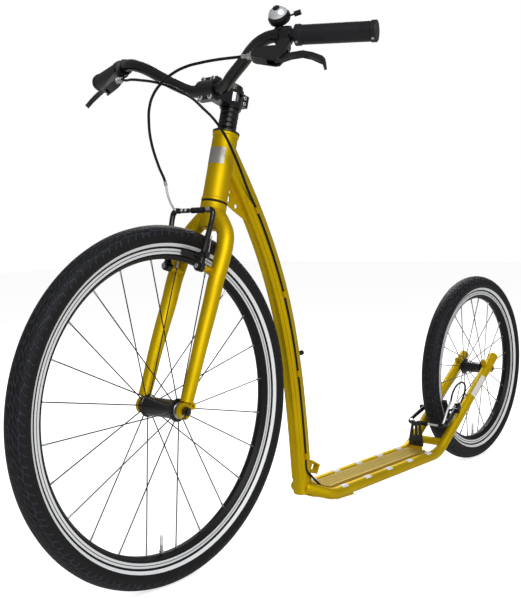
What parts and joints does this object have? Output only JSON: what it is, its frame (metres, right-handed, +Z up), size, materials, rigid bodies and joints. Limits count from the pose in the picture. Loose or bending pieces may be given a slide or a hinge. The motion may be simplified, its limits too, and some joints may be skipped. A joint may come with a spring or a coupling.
{
  "type": "kick bike",
  "caption": "Adult kick bike with a large front wheel, a small rear wheel, a low foot deck, a swept main tube and rim brakes.",
  "frame": {"origin": "on the ground, under the middle of the bike's length and width", "axes": "+X towards the front wheel, +Y to the rider's left, +Z up"},
  "size_m": [1.7286, 0.707, 1.0084],
  "materials": {
    "frame_paint": "satin",
    "black_alloy": "satin",
    "rim_black": "satin",
    "bright_steel": "satin",
    "tyre": "matte",
    "grip_rubber": "matte",
    "pad_rubber": "matte",
    "cable_housing": "gloss",
    "black_plastic": "matte"
  },
  "bodies": {
    "frame": {"head_tube": "frame_paint", "main_tube": "frame_paint", "head_gusset": "frame_paint", "deck_rail_left": "frame_paint", "deck_rail_right": "frame_paint", "deck_plank": "frame_paint", "foot_plate": "frame_paint", "stay_bridge": "frame_paint", "heel_plate": "frame_paint", "heel_bracket": "black_alloy", "lock_loop": "frame_paint", "tube_plug": "grip_rubber", "upper_bearing": "bright_steel", "lower_bearing": "black_plastic", "rear_axle": "bright_steel", "rear_cable_run": "cable_housing"},
    "steered": {"fork_crown": "frame_paint", "fork_leg_left": "frame_paint", "fork_leg_right": "frame_paint", "headset_cover": "black_alloy", "spacer_1": "black_alloy", "spacer_2": "black_alloy", "spacer_3": "black_alloy", "spacer_4": "black_alloy", "stem_body": "black_alloy", "stem_faceplate": "black_alloy", "stem_top_cap": "black_alloy", "handlebar": "black_alloy", "grip_left": "grip_rubber", "grip_right": "grip_rubber", "lever_bracket_left": "black_alloy", "lever_bracket_right": "black_alloy", "barrel_adjuster_left": "bright_steel", "barrel_adjuster_right": "bright_steel", "bell_base": "black_plastic", "bell_dome": "bright_steel", "front_cable": "cable_housing", "rear_cable_loop": "cable_housing", "front_axle": "bright_steel"},
    "front_wheel": {"front_tyre": "tyre", "front_rim": "rim_black", "front_hub": "black_alloy"},
    "rear_wheel": {"rear_tyre": "tyre", "rear_rim": "rim_black", "rear_hub": "black_alloy"},
    "lever_left": {"brake_lever_left": "black_alloy"},
    "lever_right": {"brake_lever_right": "black_alloy"},
    "front_arm_left": {"front_arm_left": "black_alloy", "front_pad_left": "pad_rubber"},
    "front_arm_right": {"front_arm_right": "black_alloy", "front_pad_right": "pad_rubber", "front_noodle": "bright_steel", "front_boot": "grip_rubber"},
    "rear_arm_left": {"rear_arm_left": "black_alloy", "rear_pad_left": "pad_rubber", "rear_noodle": "bright_steel", "rear_boot": "grip_rubber"},
    "rear_arm_right": {"rear_arm_right": "black_alloy", "rear_pad_right": "pad_rubber"},
    "bell_striker": {"bell_striker": "black_plastic"}
  },
  "joints": [
    {"name": "steering", "type": "hinge", "parent": "frame", "child": "steered", "pos_m": [0.39004, 0, 0.69088], "axis": [-0.2823, 0, 0.9593], "range_deg": [-60, 60], "deforming": ["rear_cable_loop"]},
    {"name": "front_wheel_spin", "type": "hinge", "parent": "steered", "child": "front_wheel", "pos_m": [0.53875, 0, 0.3255], "axis": [0, 1, 0], "continuous": true},
    {"name": "rear_wheel_spin", "type": "hinge", "parent": "frame", "child": "rear_wheel", "pos_m": [-0.61575, 0, 0.2485], "axis": [0, 1, 0], "continuous": true},
    {"name": "left_brake_lever", "type": "hinge", "parent": "steered", "child": "lever_left", "pos_m": [0.45534, 0.21334, 0.91341], "axis": [0.6988, 0.3048, 0.6471], "range_deg": [0, 20], "stiffness_Nm_per_rad": 0.5},
    {"name": "right_brake_lever", "type": "hinge", "parent": "steered", "child": "lever_right", "pos_m": [0.45534, -0.21334, 0.91341], "axis": [-0.6988, 0.3048, -0.6471], "range_deg": [0, 20], "stiffness_Nm_per_rad": 0.5},
    {"name": "front_left_arm", "type": "hinge", "parent": "steered", "child": "front_arm_left", "pos_m": [0.47578, 0.0415, 0.57487], "axis": [0.9593, 0, 0.2823], "range_deg": [0, 3.4], "deforming": ["front_boot"]},
    {"name": "front_right_arm", "type": "hinge", "parent": "steered", "child": "front_arm_right", "pos_m": [0.47578, -0.0415, 0.57487], "axis": [-0.9593, 0, -0.2823], "range_deg": [0, 3.4], "deforming": ["front_cable"]},
    {"name": "rear_left_arm", "type": "hinge", "parent": "frame", "child": "rear_arm_left", "pos_m": [-0.45221, 0.0415, 0.17194], "axis": [-0.3987, 0, -0.9171], "range_deg": [0, 3.4], "deforming": ["rear_cable_run"]},
    {"name": "rear_right_arm", "type": "hinge", "parent": "frame", "child": "rear_arm_right", "pos_m": [-0.45221, -0.0415, 0.17194], "axis": [0.3987, 0, 0.9171], "range_deg": [0, 3.4], "deforming": ["rear_boot"]},
    {"name": "bell_flick", "type": "hinge", "parent": "steered", "child": "bell_striker", "pos_m": [0.40955, 0.1997, 0.99028], "axis": [0.7234, 0.2512, 0.6431], "range_deg": [-10, 10], "stiffness_Nm_per_rad": 0.05}
  ],
  "couplings": [
    {"joint": "front_left_arm", "follows": "left_brake_lever", "ratio": 0.17},
    {"joint": "front_right_arm", "follows": "left_brake_lever", "ratio": 0.17},
    {"joint": "rear_left_arm", "follows": "right_brake_lever", "ratio": 0.17},
    {"joint": "rear_right_arm", "follows": "right_brake_lever", "ratio": 0.17}
  ]
}
